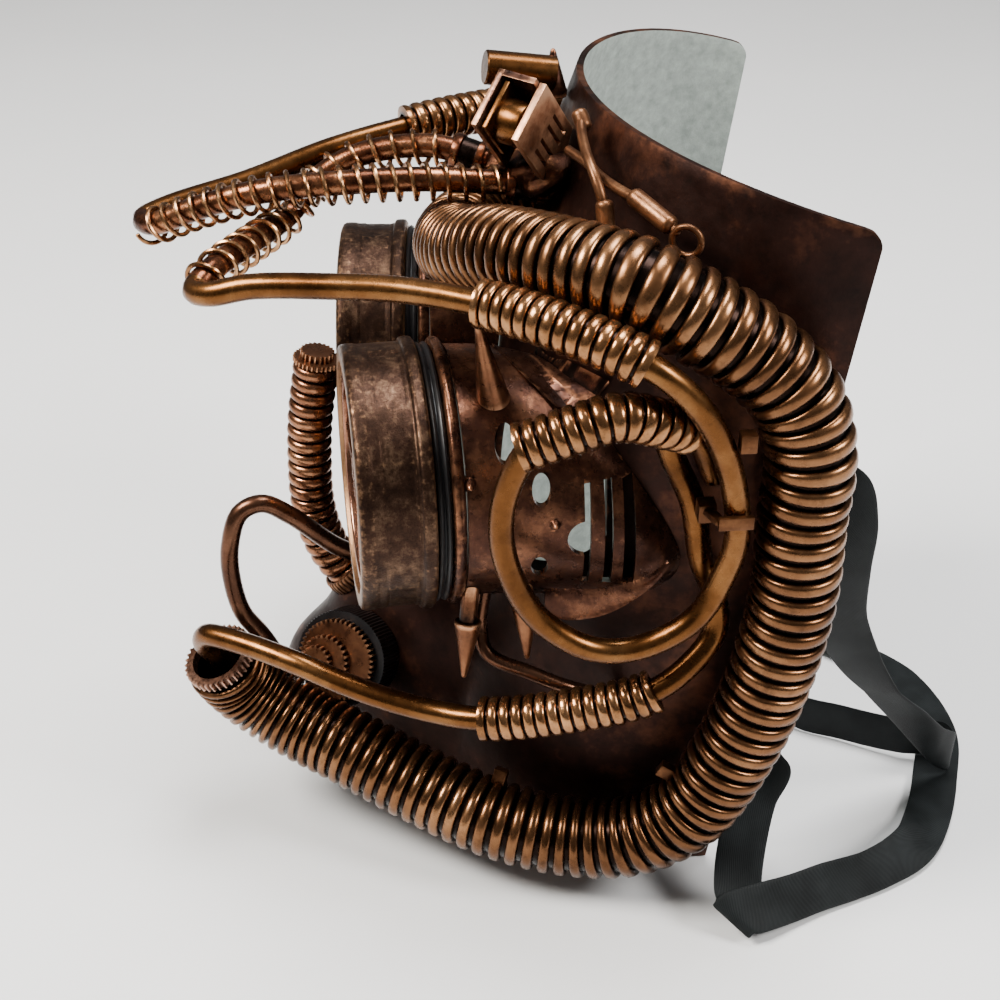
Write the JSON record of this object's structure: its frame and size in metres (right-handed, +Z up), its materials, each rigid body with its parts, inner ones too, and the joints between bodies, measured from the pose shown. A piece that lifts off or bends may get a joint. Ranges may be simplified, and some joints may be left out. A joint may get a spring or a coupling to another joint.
{
  "type": "steampunk mask",
  "caption": "Full-face costume mask shell with can-shaped eyepieces on cups, a thick ribbed hose round one side, bent tubes, gears, cone spikes and ribbon straps.",
  "frame": {"origin": "middle of the lower rim's wall at the chin, on the surface that the mask stands on", "axes": "+X to the wearer's left, -Y to the front, +Z up"},
  "size_m": [0.1991, 0.2687, 0.2454],
  "materials": {
    "dark_copper": "dark copper paint, mottled, rubbed at the rims",
    "copper": "antiqued copper paint with dark hollows and bright rubbed edges",
    "bronze": "bronze paint, near-black in the grooves",
    "antique_gold": "antique gold paint, satin",
    "black_rubber": "satin black",
    "lens_gold": "gold-tinted disc",
    "ribbon": "black twill ribbon"
  },
  "bodies": {
    "root": {"barrel_left": "copper", "barrel_right": "copper", "bezel_ring_left": "copper", "bezel_ring_right": "copper", "cable_tie_ring": "copper", "cable_tie_upper": "copper", "coil_sleeve_lower": "antique_gold", "coil_sleeve_right": "antique_gold", "coil_sleeve_ring": "antique_gold", "coil_sleeve_upper": "antique_gold", "connector_core": "antique_gold", "connector_frame": "dark_copper", "connector_plate": "copper", "eyecup_left": "copper", "eyecup_right": "copper", "face_shell": "dark_copper", "forehead_block": "dark_copper", "forehead_rod": "antique_gold", "front_hose": "bronze", "front_hose_cap": "bronze", "front_hose_collar": "bronze", "gasket_left": "black_rubber", "gasket_right": "black_rubber", "gear_disc": "black_rubber", "gear_large": "bronze", "gear_middle": "bronze", "gear_small": "bronze", "hose_collar": "bronze", "lens_cross_left": "copper", "lens_cross_right": "copper", "lens_left": "lens_gold", "lens_right": "lens_gold", "loop_tube_left": "antique_gold", "loop_tube_right": "antique_gold", "lower_tube": "antique_gold", "main_hose": "bronze", "snout_loop": "bronze", "spike_forehead": "copper", "spike_front_left": "copper", "spike_front_right": "copper", "spike_rear_left": "copper", "spike_rear_right": "copper", "spike_top_left": "copper", "spike_top_right": "copper", "strap_lower": "ribbon", "strap_upper": "ribbon", "thin_tube": "bronze", "wire_fork": "antique_gold", "wire_ring": "copper"}
  },
  "joints": []
}
